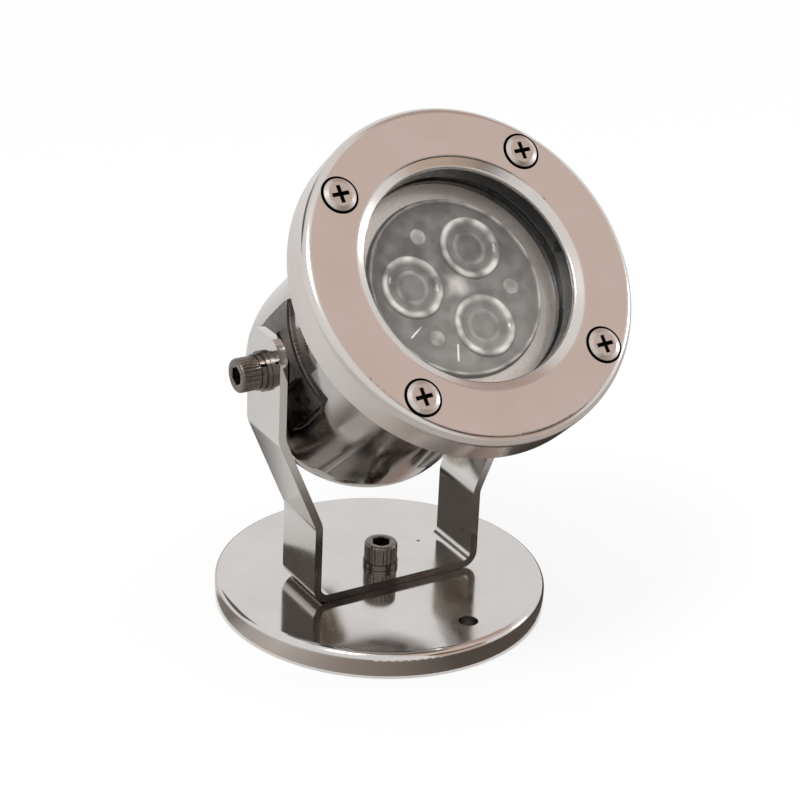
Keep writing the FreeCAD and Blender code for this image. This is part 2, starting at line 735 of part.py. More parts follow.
def make_led_emitters():
    body = new_body("led_emitters", LAMP, "lens_clock")
    sketch = new_sketch(body, "XY_Plane", BOARD_FRONT)
    low, high = "lens_pitch_radius - emitter_base_half", "lens_pitch_radius + emitter_base_half"
    draw_outline(sketch, [(low, "-emitter_base_half"), (high, "-emitter_base_half"),
                          (high, "emitter_base_half"), (low, "emitter_base_half")])
    base = padded(body, sketch, "emitter_base_height")
    dome_sketch = new_sketch(body, "XY_Plane", "(" + BOARD_FRONT + " + emitter_base_height)")
    draw_circle(dome_sketch, "lens_pitch_radius", "0", "emitter_dome_radius")
    dome = padded(body, dome_sketch, "emitter_dome_radius * 0.9")
    around(body, [base, dome], 3)


def make_small_screws(name, seat, pitch, count, clock, upwards):
    """Pan screws of one size on a circle, with their heads above or below the seat."""
    body = new_body(name, LAMP, clock)
    sign, away = ("+", "-") if upwards else ("-", "+")
    head = "(" + seat + " " + sign + " small_head_height)"
    tip = "(" + seat + " " + away + " small_screw_length)"
    screw = turned(body, [
        (pitch, tip),
        ("(" + pitch + " + small_thread_radius)", tip),
        ("(" + pitch + " + small_thread_radius)", seat),
        ("(" + pitch + " + small_head_radius)", seat),
        ("(" + pitch + " + small_head_radius * 0.75)", head),
        (pitch, head),
    ], axis_at=pitch)
    around(body, [screw], count)


def make_lead_wires():
    body = new_body("lead_wires", LAMP, "lens_clock")
    low = "(" + DRIVER_FRONT + " + seat_gap)"
    for across, up in lead_spots():
        sketch = new_sketch(body, "XY_Plane", low)
        draw_circle(sketch, across, up, "lead_radius")
        padded(body, sketch, BOARD_FRONT + " - " + low + " + emitter_base_height * 2")


# ---- heat sink and driver ----

def make_heat_sink():
    body = new_body("heat_sink", LAMP, "lens_clock")
    turned(body, ring_points("0", "(" + CAN_INNER + " - fit_gap)", SINK_BACK, BOARD_BACK))
    depth = "(small_screw_length - board_thickness + screw_gap)"
    screw_holes(body, "(" + BOARD_BACK + " - " + depth + ")", depth, "board_screw_pitch_radius", 3)
    lead_holes(body, SINK_BACK, "heat_sink_thickness")


def make_driver_standoffs():
    body = new_body("driver_standoffs", LAMP, "standoff_clock")
    sketch = new_sketch(body, "XY_Plane", DRIVER_FRONT)
    corners = [("(standoff_pitch_radius + " + across + ")", up)
               for across, up in hexagon_points("standoff_across")]
    draw_outline(sketch, corners)
    post = padded(body, sketch, "standoff_length")
    around(body, [post], 3)
    depth = "(small_screw_length - driver_thickness + screw_gap)"
    screw_holes(body, DRIVER_FRONT, depth, "standoff_pitch_radius", 3)


def make_driver_board():
    body = new_body("driver_board", LAMP, "standoff_clock")
    turned(body, ring_points("0", "driver_radius", DRIVER_BACK, DRIVER_FRONT))
    screw_holes(body, DRIVER_BACK, "driver_thickness", "standoff_pitch_radius", 3)


def make_round_component(name, across, up, radius, height):
    """A round component that stands on the driver board's front."""
    body = new_body(name, LAMP)
    sketch = new_sketch(body, "XY_Plane", DRIVER_FRONT)
    draw_circle(sketch, across, up, radius)
    can = padded(body, sketch, height)
    top = worked_out(DRIVER_FRONT) + worked_out(height)
    softened(body, can, lambda edge: abs(edge.BoundBox.Center.z - top) < 0.01, "cap_edge_break")


def make_driver_chip():
    body = new_body("driver_chip", LAMP)
    sketch = new_sketch(body, "XY_Plane", DRIVER_FRONT)
    corners = [(across, up + " - chip_offset")
               for across, up in box_points("chip_length / 2", "chip_width / 2")]
    draw_outline(sketch, corners)
    padded(body, sketch, "chip_height")


# ---- cable gland at the back of the can ----

def make_gland_body():
    body = new_body("gland_body", LAMP)
    turned(body, ring_points("gland_bore_radius", "gland_thread_radius",
                             GLAND_HEX_BACK, "(can_rear + gland_spigot)"))
    hexagon = new_sketch(body, "XY_Plane", GLAND_HEX_BACK)
    draw_outline(hexagon, hexagon_points("gland_hex_across"))
    draw_circle(hexagon, "0", "0", "gland_bore_radius")
    padded(body, hexagon, "gland_hex_height")
    turned(body, ring_points("gland_seal_radius", "gland_neck_radius", GLAND_NECK_BACK, GLAND_HEX_BACK))


def make_gland_ring():
    body = new_body("gland_ring", LAMP)
    turned(body, ring_points("(gland_thread_radius + fit_gap)", "gland_ring_radius",
                             GLAND_RING_BACK, "can_rear"))


def make_gland_lock_nut():
    body = new_body("gland_lock_nut", LAMP)
    sketch = new_sketch(body, "XY_Plane", "(can_rear + can_wall)")
    draw_outline(sketch, hexagon_points("gland_nut_across"))
    draw_circle(sketch, "0", "0", "(gland_thread_radius + fit_gap)")
    padded(body, sketch, "gland_nut_height")


def make_gland_seal():
    body = new_body("gland_seal", LAMP)
    turned(body, ring_points("gland_bore_radius", "(gland_seal_radius - fit_gap)",
                             "(" + GLAND_NECK_BACK + " - seat_gap)", GLAND_HEX_BACK))


def make_gland_dome_nut():
    body = new_body("gland_dome_nut", LAMP)
    thread = "(gland_neck_radius + fit_gap)"
    floor = "(" + GLAND_NECK_BACK + " - seat_gap * 2)"
    dome = turned(body, [
        ("gland_bore_radius", DOME_BACK),
        ("gland_dome_radius", DOME_BACK),
        ("gland_dome_radius", DOME_FRONT),
        (thread, DOME_FRONT),
        (thread, floor),
        ("gland_bore_radius", floor),
    ])
    softened(body, dome, rim(cell("gland_dome_radius"), worked_out(DOME_BACK)), "gland_dome_round")


make_base_plate()
stand(make_cap_screw("yoke_screw", "yoke_screw_length"),
      "(" + YOKE_BOTTOM + " + yoke_thickness + slip_gap + lock_washer_thickness)")
stand(make_washer("yoke_lock_washer", "lock_washer_radius", "lock_washer_thickness", True),
      "(" + YOKE_BOTTOM + " + yoke_thickness + slip_gap)")
make_yoke()
for side, word in ((-1, "left"), (1, "right")):
    make_lug(word + "_lug", side)
    stand_sideways(make_washer(word + "_flat_washer", "flat_washer_radius", "flat_washer_thickness", False),
                   side, "(" + HEAD_HALF + " + slip_gap)")
    stand_sideways(make_washer(word + "_lock_washer", "lock_washer_radius", "lock_washer_thickness", True),
                   side, "(" + HEAD_HALF + " + slip_gap + flat_washer_thickness)")
    stand_sideways(make_cap_screw(word + "_pivot_screw", "pivot_screw_length"),
                   side, "(" + HEAD_HALF + " + slip_gap + flat_washer_thickness + lock_washer_thickness)")
make_can()
make_can_flange()
make_bezel_ring()
make_flange_gasket()
make_glass_gasket()
make_glass()
make_seat_ring()
make_bezel_screws()
make_lens_plate()
make_led_board()
make_led_emitters()
make_small_screws("board_screws", BOARD_FRONT, "board_screw_pitch_radius", 3, "lens_clock", True)
make_lead_wires()
make_heat_sink()
make_driver_standoffs()
make_driver_board()
make_small_screws("driver_screws", DRIVER_BACK, "standoff_pitch_radius", 3, "standoff_clock", False)
make_round_component("driver_inductor", "inductor_offset", "inductor_offset", "inductor_radius",
                     "inductor_height")
make_round_component("driver_capacitor", "-capacitor_offset", "capacitor_offset", "capacitor_radius",
                     "capacitor_height")
make_driver_chip()
make_gland_ring()
make_gland_body()
make_gland_lock_nut()
make_gland_seal()
make_gland_dome_nut()

doc.recompute()
for item in doc.Objects:
    if "Invalid" in item.State or "Error" in item.State:
        raise RuntimeError(item.Name + " has failed")
for node in nodes:
    if node.Shape.isNull() or not node.Shape.isValid() or not node.Shape.Solids:
        raise RuntimeError(node.Label + " has no valid solid")

os.makedirs("parts", exist_ok=True)
for node in nodes:
    node.Shape.exportStep(os.path.join("parts", node.Label + ".step"))
    box = node.Shape.BoundBox
    print("%-18s %d solids %9.1f mm3  x %.1f %.1f  y %.1f %.1f  z %.1f %.1f" % (
        node.Label, len(node.Shape.Solids), node.Shape.Volume,
        box.XMin, box.XMax, box.YMin, box.YMax, box.ZMin, box.ZMax))
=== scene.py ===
import json
import math

import bpy
import numpy as np
from mathutils import Matrix, Vector


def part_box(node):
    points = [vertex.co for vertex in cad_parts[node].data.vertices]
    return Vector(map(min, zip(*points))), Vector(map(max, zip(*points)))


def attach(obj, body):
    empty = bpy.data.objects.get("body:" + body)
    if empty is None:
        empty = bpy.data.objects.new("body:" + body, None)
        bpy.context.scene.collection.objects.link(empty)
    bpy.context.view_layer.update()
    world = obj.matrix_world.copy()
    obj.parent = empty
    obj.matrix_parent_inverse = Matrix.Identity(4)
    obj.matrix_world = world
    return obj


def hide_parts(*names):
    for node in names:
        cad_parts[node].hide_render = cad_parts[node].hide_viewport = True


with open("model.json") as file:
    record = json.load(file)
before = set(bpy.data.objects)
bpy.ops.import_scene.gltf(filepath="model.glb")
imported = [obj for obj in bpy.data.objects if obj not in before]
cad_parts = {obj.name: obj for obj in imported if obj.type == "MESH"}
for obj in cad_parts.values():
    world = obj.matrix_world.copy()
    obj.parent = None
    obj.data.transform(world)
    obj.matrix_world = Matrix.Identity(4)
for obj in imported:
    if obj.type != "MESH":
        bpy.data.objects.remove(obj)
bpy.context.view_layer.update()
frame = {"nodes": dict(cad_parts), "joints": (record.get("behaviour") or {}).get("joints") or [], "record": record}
nodes = frame["nodes"]
scene = bpy.context.scene
MM = 0.001


# ---- Camera ----
# A long lens, a little above the light and to its left, with a slight roll.

CAMERA_AZIMUTH = math.radians(-31.6)
CAMERA_ELEVATION = math.radians(24.8)
CAMERA_ROLL = math.radians(2.6)
CAMERA_DISTANCE = 731.8 * MM
CAMERA_TARGET = Vector((4.4, 0.0, 64.3)) * MM


def direction(azimuth, elevation):
    """The unit vector towards a place at this azimuth from the front (-Y) and this elevation, in radians."""
    return Vector((math.sin(azimuth) * math.cos(elevation), -math.cos(azimuth) * math.cos(elevation),
                   math.sin(elevation)))


camera = bpy.data.objects.new("camera", bpy.data.cameras.new("camera"))
scene.collection.objects.link(camera)
camera.data.sensor_width = 36.0
camera.data.lens = 111.6
camera.data.clip_start = 0.05
camera.data.clip_end = 50.0
towards_camera = direction(CAMERA_AZIMUTH, CAMERA_ELEVATION)
camera.location = CAMERA_TARGET + towards_camera * CAMERA_DISTANCE
level = towards_camera.to_track_quat("Z", "Y").to_matrix().to_4x4()
camera.rotation_euler = (level @ Matrix.Rotation(CAMERA_ROLL, 4, "Z")).to_euler()
scene.camera = camera
scene.view_settings.view_transform = "Standard"


# ---- Studio ----
# A white sweep under a white world, with two soft boxes. Polished steel is only as good as what
# it mirrors, so cards that nothing but reflections see stand round it, dark, beige, brown and rose.


def in_mm(metres):
    """A length from the frame in mm, to a tenth, which takes off the facets of a round mesh."""
    return round(metres / MM, 1)


LAMP_MIDDLE = Vector((0, 0, 80)) * MM
# how strong the white world is as light on the object, and where it is looked at
LIGHT_OF_SKY = 0.7
LOOK_OF_SKY = 1.0
FLOOR_HALF = 3000
FLOOR_GLOW = 1.1
GLOW_SHARE = 0.7
PLATE_RADIUS = in_mm(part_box("base_plate")[1].x)
TABLE_STEPS = 96
TABLE_RADIUS = 900
TABLE_HEIGHT = 0.4
NEAR_EDGE = PLATE_RADIUS + 2
NEAR_REACH = 70
NEAR_BLEND = 35


def linear(hex_colour):
    """An sRGB colour such as "#c8b2a8" as a linear RGBA tuple."""
    channels = [int(hex_colour[k:k + 2], 16) / 255 for k in (1, 3, 5)]
    return tuple(c / 12.92 if c <= 0.04045 else ((c + 0.055) / 1.055) ** 2.4 for c in channels) + (1.0,)


def add(tree, kind, inputs=None, stops=(), **settings):
    """One shader node. Each input is a number, a colour or another node's output socket.

    The stops are a colour ramp's, from low to high: each a position and a hex colour.
    """
    made = tree.nodes.new("ShaderNode" + kind)
    for number, (position, colour) in enumerate(stops):
        if number > 1:
            made.color_ramp.elements.new(position)
        made.color_ramp.elements[number].position = position
        made.color_ramp.elements[number].color = linear(colour)
    for name, value in settings.items():
        setattr(made, name, value)
    for name, value in (inputs or {}).items():
        if isinstance(value, bpy.types.NodeSocket):
            tree.links.new(value, made.inputs[name])
        else:
            made.inputs[name].default_value = value
    return made


def new_material(name):
    """An empty material with its node tree."""
    made = bpy.data.materials.new(name)
    made.use_nodes = True
    made.node_tree.nodes.clear()
    return made, made.node_tree


def new_mesh(name, vertices, faces, smooth=False):
    """An object at the origin, from an array of vertices and rows of vertex numbers."""
    mesh = bpy.data.meshes.new(name)
    mesh.from_pydata(np.asarray(vertices, float).tolist(), [], [[int(k) for k in face] for face in faces])
    mesh.update()
    if smooth:
        mesh.shade_smooth()
    made = bpy.data.objects.new(name, mesh)
    scene.collection.objects.link(made)
    return made


def for_reflections_only(card, colour):
    """Make a mesh a card of this colour that only glossy rays meet."""
    material, tree = new_material(card.name + "_paper")
    glow = add(tree, "Emission", {"Color": linear(colour), "Strength": 1.0})
    add(tree, "OutputMaterial", {"Surface": glow.outputs[0]})
    card.data.materials.append(material)
    card.visible_camera = card.visible_diffuse = card.visible_shadow = False
    card.visible_transmission = card.visible_volume_scatter = False
    return tree, glow


def standing_card(name, azimuth, elevation, width, height, distance, colour):
    """A flat card facing the light, seen from it at an azimuth and elevation in degrees."""
    out = direction(math.radians(azimuth), math.radians(elevation))
    turn = out.to_track_quat("Z", "Y").to_matrix()
    centre = LAMP_MIDDLE + out * distance
    corners = [centre + turn @ Vector((x * width / 2, y * height / 2, 0))
               for x, y in ((-1, -1), (1, -1), (1, 1), (-1, 1))]
    return for_reflections_only(new_mesh(name, corners, [(0, 1, 2, 3)]), colour)


def looked_at(tree):
    """One on a ray that shows the white itself, straight, in a mirror or through glass, and else zero."""
    path = add(tree, "LightPath")
    mirrored = add(tree, "Math", {0: path.outputs["Is Camera Ray"], 1: path.outputs["Is Glossy Ray"]},
                   operation="MAXIMUM")
    seen = add(tree, "Math", {0: mirrored.outputs[0], 1: path.outputs["Is Transmission Ray"]},
               operation="MAXIMUM")
    return seen.outputs[0]


def off_middle(tree):
    """Distance from the middle of the underside of the base plate, in metres."""
    place = add(tree, "TexCoord").outputs["Object"]
    return add(tree, "VectorMath", {0: place}, operation="LENGTH").outputs["Value"]


world = bpy.data.worlds.new("studio")
scene.world = world
world.use_nodes = True
tree = world.node_tree
tree.nodes.clear()
strength = add(tree, "MapRange", {"Value": looked_at(tree), "To Min": LIGHT_OF_SKY, "To Max": LOOK_OF_SKY})
sky = add(tree, "Background", {"Color": linear("#ffffff"), "Strength": strength.outputs["Result"]})
add(tree, "OutputWorld", {"Surface": sky.outputs[0]})

# White paper: matt, and lit to white where it is looked at, with the light's soft shadow left on it.
corners = np.array([(-1, -1, 0), (1, -1, 0), (1, 1, 0), (-1, 1, 0)]) * FLOOR_HALF * MM
floor = new_mesh("floor", corners, [(0, 1, 2, 3)])
paper, tree = new_material("white_paper_sweep")
matt = add(tree, "BsdfDiffuse", {"Color": linear("#f4f4f4")})
glow = add(tree, "Emission", {"Color": linear("#ffffff"), "Strength": FLOOR_GLOW})
# under the base plate it is only matt paper, so the screw holes look down into shade
open_air = add(tree, "MapRange", {"Value": off_middle(tree), "From Min": (PLATE_RADIUS - 1) * MM,
                                  "From Max": PLATE_RADIUS * MM, "To Max": GLOW_SHARE})
share = add(tree, "Math", {0: open_air.outputs[0], 1: looked_at(tree)}, operation="MULTIPLY")
sheet = add(tree, "MixShader", {0: share.outputs[0], 1: matt.outputs[0], 2: glow.outputs[0]})
add(tree, "OutputMaterial", {"Surface": sheet.outputs[0]})
floor.data.materials.append(paper)

# The table as reflections see it: a ring of card round the base plate. Close by it is brown in front,
# pale on the left, and dark behind and on the right. Further off it is pale all round.
around = np.linspace(0, 2 * np.pi, TABLE_STEPS, endpoint=False)
rim = np.stack([np.cos(around), np.sin(around), np.zeros(TABLE_STEPS)], 1)
table_points = np.concatenate([rim * (PLATE_RADIUS + 1), rim * TABLE_RADIUS]) + [0, 0, TABLE_HEIGHT]
inner = np.arange(TABLE_STEPS)
after = (inner + 1) % TABLE_STEPS
table_faces = np.stack([inner, after, TABLE_STEPS + after, TABLE_STEPS + inner], 1)
table = new_mesh("table_card", table_points * MM, table_faces)
tree, glow = for_reflections_only(table, "#6d625b")
spread = add(tree, "SeparateXYZ", {0: add(tree, "TexCoord").outputs["Object"]})
bearing = add(tree, "Math", {0: spread.outputs[0], 1: spread.outputs[1]}, operation="ARCTAN2")
# round the compass from the front through the left, the back and the right to the front again
compass = add(tree, "MapRange", {"Value": bearing.outputs[0], "From Min": -math.pi, "From Max": math.pi})
compass = compass.outputs[0]
near = add(tree, "ValToRGB", {0: compass}, [(0.0, "#635b55"), (0.12, "#a39a93"), (0.2, "#d3ccc6"),
                                            (0.24, "#c5beb8"), (0.27, "#8d857f"), (0.31, "#8d857f"),
                                            (0.33, "#dedbd8"), (0.415, "#e6e4e2"), (0.44, "#35312e"),
                                            (0.72, "#2e2926"), (0.88, "#5f5750"), (1.0, "#635b55")])
far = add(tree, "ValToRGB", {0: compass}, [(0.0, "#cdc8c4"), (0.2, "#dedbd8"), (0.34, "#f4f4f4"),
                                           (0.52, "#f0efee"), (0.75, "#d2ccc7"), (1.0, "#cdc8c4")])
reach = add(tree, "ValToRGB", {0: compass}, [(0.0, "#9a9a9a"), (0.2, "#202020"), (0.38, "#202020"),
                                             (0.45, "#ffffff"), (0.6, "#ffffff"), (1.0, "#9a9a9a")])
# where the near colours end, further out where the reach is pale
edge = add(tree, "Math", {0: reach.outputs[0], 1: NEAR_REACH * MM, 2: NEAR_EDGE * MM},
           operation="MULTIPLY_ADD")
past = add(tree, "Math", {0: off_middle(tree), 1: edge.outputs[0]}, operation="SUBTRACT").outputs[0]
mix = add(tree, "MapRange", {"Value": past, "From Max": NEAR_BLEND * MM}, interpolation_type="SMOOTHSTEP")
tone = add(tree, "Mix", {0: mix.outputs[0], 6: near.outputs[0], 7: far.outputs[0]}, data_type="RGBA")
tree.links.new(tone.outputs[2], glow.inputs["Color"])

# azimuth and elevation in degrees, then width, height and distance in metres
standing_card("beige_card", 44, 52, 1.5, 1.0, 1.2, "#ecd9d0")
standing_card("right_flag", 26, 27, 0.9, 0.42, 1.3, "#24211f")
standing_card("low_brown_card", 26, 8, 0.8, 0.5, 1.25, "#dcc6b4")
standing_card("rear_left_flag", -148, 25, 0.7, 0.5, 1.2, "#6e6965")
standing_card("rose_card", 112, 56, 0.8, 0.7, 1.2, "#c9b4ab")


def soft_box(name, azimuth, elevation, size, distance, power):
    """A square area lamp that faces the light, at an azimuth and elevation in degrees."""
    out = direction(math.radians(azimuth), math.radians(elevation))
    lamp = bpy.data.lights.new(name, "AREA")
    lamp.size = size
    lamp.energy = power
    made = bpy.data.objects.new(name, lamp)
    scene.collection.objects.link(made)
    made.location = LAMP_MIDDLE + out * distance
    made.rotation_euler = out.to_track_quat("Z", "Y").to_euler()


# azimuth and elevation in degrees, then size and distance in metres, and power in watts
soft_box("key_box", -62, 58, 0.3, 1.1, 3.0)
soft_box("fill_box", 76, 11, 0.2, 1.1, 1.5)


# ---- Base plate ----
# An 8 mm disc of stainless steel, turned and then buffed on a wheel, so it mirrors what stands on
# it through a slight haze, with faint straight buffing marks and finger smudges.

BUFFING_SPACING = 0.5 * MM
BUFFING_LENGTH = 14 * MM
BUFFING_TURN = math.radians(25)
SMUDGE_SIZE = 16 * MM


def dress(material, *names):
    """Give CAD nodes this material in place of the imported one."""
    for name in names:
        for slot in nodes[name].material_slots:
            slot.material = material


def stretched_noise(tree, vector, across, along, detail=2.0):
    """Noise with cells of one size across (X and Z) and another along Y, in metres."""
    scaled = add(tree, "Mapping", {"Vector": vector, "Scale": (1 / across, 1 / along, 1 / across)})
    return add(tree, "TexNoise", {"Vector": scaled.outputs[0], "Scale": 1.0, "Detail": detail}).outputs[0]


def bare_metal(tree, tint, roughness, bumps):
    """Finish a material as bare metal: a tint from a colour Mix, a roughness and a Bump node."""
    skin = add(tree, "BsdfPrincipled", {"Base Color": tint.outputs[2], "Metallic": 1.0,
                                        "Roughness": roughness, "Normal": bumps.outputs[0]})
    add(tree, "OutputMaterial", {"Surface": skin.outputs[0]})


# Buffed stainless plate: a near mirror, dulled a little in smudges, with faint straight marks. Real
# marks lie under a tenth of a millimetre apart, and are drawn coarser so that they show.
plate_steel, tree = new_material("buffed_stainless_plate")
place = add(tree, "TexCoord").outputs["Object"]
turned = add(tree, "Mapping", {"Vector": place, "Rotation": (0, 0, BUFFING_TURN)}).outputs[0]
marks = stretched_noise(tree, turned, BUFFING_SPACING, BUFFING_LENGTH)
smudges = stretched_noise(tree, place, SMUDGE_SIZE, SMUDGE_SIZE, 4.0)
haze_and_painted_light = add(tree, "MapRange", {"Value": smudges, "From Min": 0.35, "From Max": 0.7,
                              "To Min": 0.05, "To Max": 0.13})
scratched = add(tree, "Math", {0: marks, 1: 0.05, 2: haze_and_painted_light.outputs[0]}, operation="MULTIPLY_ADD")
tint = add(tree, "Mix", {0: smudges, 6: linear("#d2cfcd"), 7: linear("#c6c0bc")}, data_type="RGBA")
dents = add(tree, "Bump", {"Height": marks, "Strength": 0.03, "Distance": 0.05 * MM})
bare_metal(tree, tint, scratched.outputs[0], dents)
dress(plate_steel, "base_plate")


# ---- Yoke ----
# A strip of bright cold-rolled stainless steel, 2.4 mm thick, bent four times. Its faces keep the
# mill's long shine, with hairlines along the strip and one dark speck of weld spatter.

HAIRLINE_SPACING = 0.35 * MM
HAIRLINE_LENGTH = 30 * MM
SPATTER_SPOT = Vector((18.0, 7.6, 10.4)) * MM
SPATTER_RADIUS = 0.8 * MM
SPATTER_EDGE = 0.5 * MM

# Bright cold-rolled strip: a near mirror with long hairlines, which are drawn coarser than the real
# ones so that they show.
strip_steel, tree = new_material("bright_cold_rolled_stainless")
place = add(tree, "TexCoord").outputs["Object"]
upright = add(tree, "Mapping", {"Vector": place, "Rotation": (math.pi / 2, 0, 0)}).outputs[0]
lines = stretched_noise(tree, upright, HAIRLINE_SPACING, HAIRLINE_LENGTH)
smudges = stretched_noise(tree, place, SMUDGE_SIZE, SMUDGE_SIZE, 4.0)
haze_and_painted_light = add(tree, "MapRange", {"Value": smudges, "From Min": 0.3, "From Max": 0.7,
                              "To Min": 0.06, "To Max": 0.15})
scratched = add(tree, "Math", {0: lines, 1: 0.05, 2: haze_and_painted_light.outputs[0]}, operation="MULTIPLY_ADD")
off_spot = add(tree, "VectorMath", {0: place, 1: SPATTER_SPOT}, operation="DISTANCE")
spot = add(tree, "MapRange", {"Value": off_spot.outputs["Value"],
                              "From Min": SPATTER_RADIUS - SPATTER_EDGE, "From Max": SPATTER_RADIUS})
tint = add(tree, "Mix", {0: smudges, 6: linear("#d2d0cd"), 7: linear("#c2beba")}, data_type="RGBA")
tint = add(tree, "Mix", {0: spot.outputs[0], 6: linear("#4a4542"), 7: tint.outputs[2]}, data_type="RGBA")
dents = add(tree, "Bump", {"Height": lines, "Strength": 0.02, "Distance": 0.05 * MM})
bare_metal(tree, tint, scratched.outputs[0], dents)
dress(strip_steel, "yoke")


# ---- Cap screws ----
# Three M6 socket cap screws of plain stainless steel, cold-headed, with a rolled knurl round the
# head. Lamp and yoke hang on two of them, and the third holds the yoke to the base plate.

HEAD_RADIUS = 5.0
HEAD_HEIGHT = 6.0
THREAD_RADIUS = 3.0
SOCKET_ACROSS = 5.0
SOCKET_DEPTH = 3.2
KNURL_RIBS = 30
KNURL_DEPTH = 0.14
KNURL_FOOT = 0.3
KNURL_TOP = HEAD_HEIGHT - 0.7
SCREW_STEPS = 240
SHARP_ANGLE = math.radians(34)
PEEL_SIZE = 0.5 * MM
# keeps a pivot screw, which turns with the lamp, off its lock washer, which stays with the yoke
TURNING_GAP = 0.03


def lathe(profile, centre, axis, start, waver=None, steps=96):
    """A closed solid of revolution: rows of (radius, height) in mm, from pole to pole, turned about axis.

    Point (k, t) is centre + height_k * axis + radius_k(t) * (cos t * start + sin t * side), where waver
    gives each row's radius as a function of t, and the first and last rows are single points.
    """
    profile = np.asarray(profile, float) * MM
    axis, start = np.asarray(axis, float), np.asarray(start, float)
    side = np.cross(axis, start)
    turn = np.linspace(0, 2 * np.pi, steps, endpoint=False)
    radius = np.repeat(profile[1:-1, :1], steps, 1)
    if waver is not None:
        radius = waver(radius / MM, profile[1:-1, 1:] / MM, turn[None, :]) * MM
    spoke = np.cos(turn)[:, None] * start + np.sin(turn)[:, None] * side
    rows = centre + profile[1:-1, 1][:, None, None] * axis + radius[:, :, None] * spoke[None]
    poles = np.asarray(centre) + profile[[0, -1], 1][:, None] * axis
    points = np.concatenate([rows.reshape(-1, 3), poles])
    count = len(profile) - 2
    k, t = np.meshgrid(np.arange(count - 1), np.arange(steps), indexing="ij")
    here, there = k * steps + t, k * steps + (t + 1) % steps
    quads = np.stack([here, there, there + steps, here + steps], -1).reshape(-1, 4)
    t = np.arange(steps)
    first = np.stack([(t + 1) % steps, t, np.full(steps, count * steps)], -1)
    last = (count - 1) * steps
    final = np.stack([last + t, last + (t + 1) % steps, np.full(steps, count * steps + 1)], -1)
    return points, quads.tolist() + first.tolist() + final.tolist()


def knurled_and_hexed(radius, height, turn):
    """Rows inside the socket become hexagons, and rows on the head's side get a wave of ribs.

    A hexagon's radius is half the width across flats over the cosine of the angle from the flat's middle.
    """
    off_flat = np.mod(turn, math.pi / 3) - math.pi / 6
    hexagon = SOCKET_ACROSS / 2 / np.cos(off_flat)
    ribs = radius - KNURL_DEPTH * (0.5 + 0.5 * np.cos(KNURL_RIBS * turn))
    on_side = np.isclose(radius, HEAD_RADIUS) & (height > KNURL_FOOT) & (height < KNURL_TOP)
    in_socket = np.isclose(radius, SOCKET_ACROSS / 2) & (height > HEAD_HEIGHT - SOCKET_DEPTH - 0.1)
    return np.where(in_socket, hexagon, np.where(on_side, ribs, radius))


def cap_screw(name, seat, axis, start, length):
    """A cap screw whose head sits on the seat point and stands out along the axis."""
    floor_height = HEAD_HEIGHT - SOCKET_DEPTH
    profile = [(0, floor_height - 0.6), (SOCKET_ACROSS / 2, floor_height),
               (SOCKET_ACROSS / 2, HEAD_HEIGHT - 0.25), (SOCKET_ACROSS / 2 + 0.62, HEAD_HEIGHT),
               (HEAD_RADIUS - 0.8, HEAD_HEIGHT), (HEAD_RADIUS - 0.35, HEAD_HEIGHT - 0.12),
               (HEAD_RADIUS - 0.08, HEAD_HEIGHT - 0.5), (HEAD_RADIUS, HEAD_HEIGHT - 0.75),
               (HEAD_RADIUS, HEAD_HEIGHT - 0.95), (HEAD_RADIUS, 0.5), (HEAD_RADIUS - 0.1, 0.0),
               (THREAD_RADIUS, 0.0), (THREAD_RADIUS, 0.5 - length), (THREAD_RADIUS - 0.5, -length),
               (0, -length)]
    points, faces = lathe(profile[::-1], np.array(seat) * MM, axis, start, knurled_and_hexed, SCREW_STEPS)
    screw = new_mesh(name, points, faces, smooth=True)
    screw.data.materials.append(screw_steel)
    screw.data.set_sharp_from_angle(angle=SHARP_ANGLE)
    return screw


# Plain, unpolished fastener steel: grey-brown, with the orange peel of tumbling, drawn coarser than
# the real one so that it shows.
screw_steel, tree = new_material("tumbled_stainless_fastener")
place = add(tree, "TexCoord").outputs["Object"]
peel = stretched_noise(tree, place, PEEL_SIZE, PEEL_SIZE, 3.0)
rough = add(tree, "MapRange", {"Value": peel, "From Min": 0.3, "From Max": 0.7,
                               "To Min": 0.16, "To Max": 0.34})
tint = add(tree, "Mix", {0: peel, 6: linear("#857d77"), 7: linear("#59524d")}, data_type="RGBA")
dents = add(tree, "Bump", {"Height": peel, "Strength": 0.15, "Distance": 0.05 * MM})
bare_metal(tree, tint, rough.outputs[0], dents)
dress(screw_steel, "yoke_lock_washer", "left_flat_washer", "right_flat_washer", "left_lock_washer",
      "right_lock_washer", "board_screws", "driver_screws")

joints = {joint["name"]: joint for joint in frame["joints"]}
PIVOT_HEIGHT = in_mm(joints["lamp_tilt"]["pos_m"][2])
yoke_seat = in_mm(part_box("yoke_lock_washer")[1].z)
yoke_length = yoke_seat - in_mm(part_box("yoke_screw")[0].z)
standing = cap_screw("yoke_cap_screw", (0, 0, yoke_seat), (0, 0, 1), (1, 0, 0), yoke_length)
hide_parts("yoke_screw")
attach(standing, "base")

washer_face = in_mm(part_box("right_lock_washer")[1].x)
pivot_seat = washer_face + TURNING_GAP
pivot_length = washer_face - in_mm(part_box("right_pivot_screw")[0].x)
for word, side in (("left", -1), ("right", 1)):
    seat = (side * pivot_seat, 0, PIVOT_HEIGHT)
    sideways = cap_screw(word + "_pivot_cap_screw", seat, (side, 0, 0), (0, 0, 1), pivot_length)
    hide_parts(word + "_pivot_screw")
    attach(sideways, "lamp")


# ---- Can and lugs ----
# The body is a deep-drawn stainless can, polished on the lathe so faint lines run round it. Two
# lugs of unpolished strip are welded to its sides, each with a rippled bead round its foot.

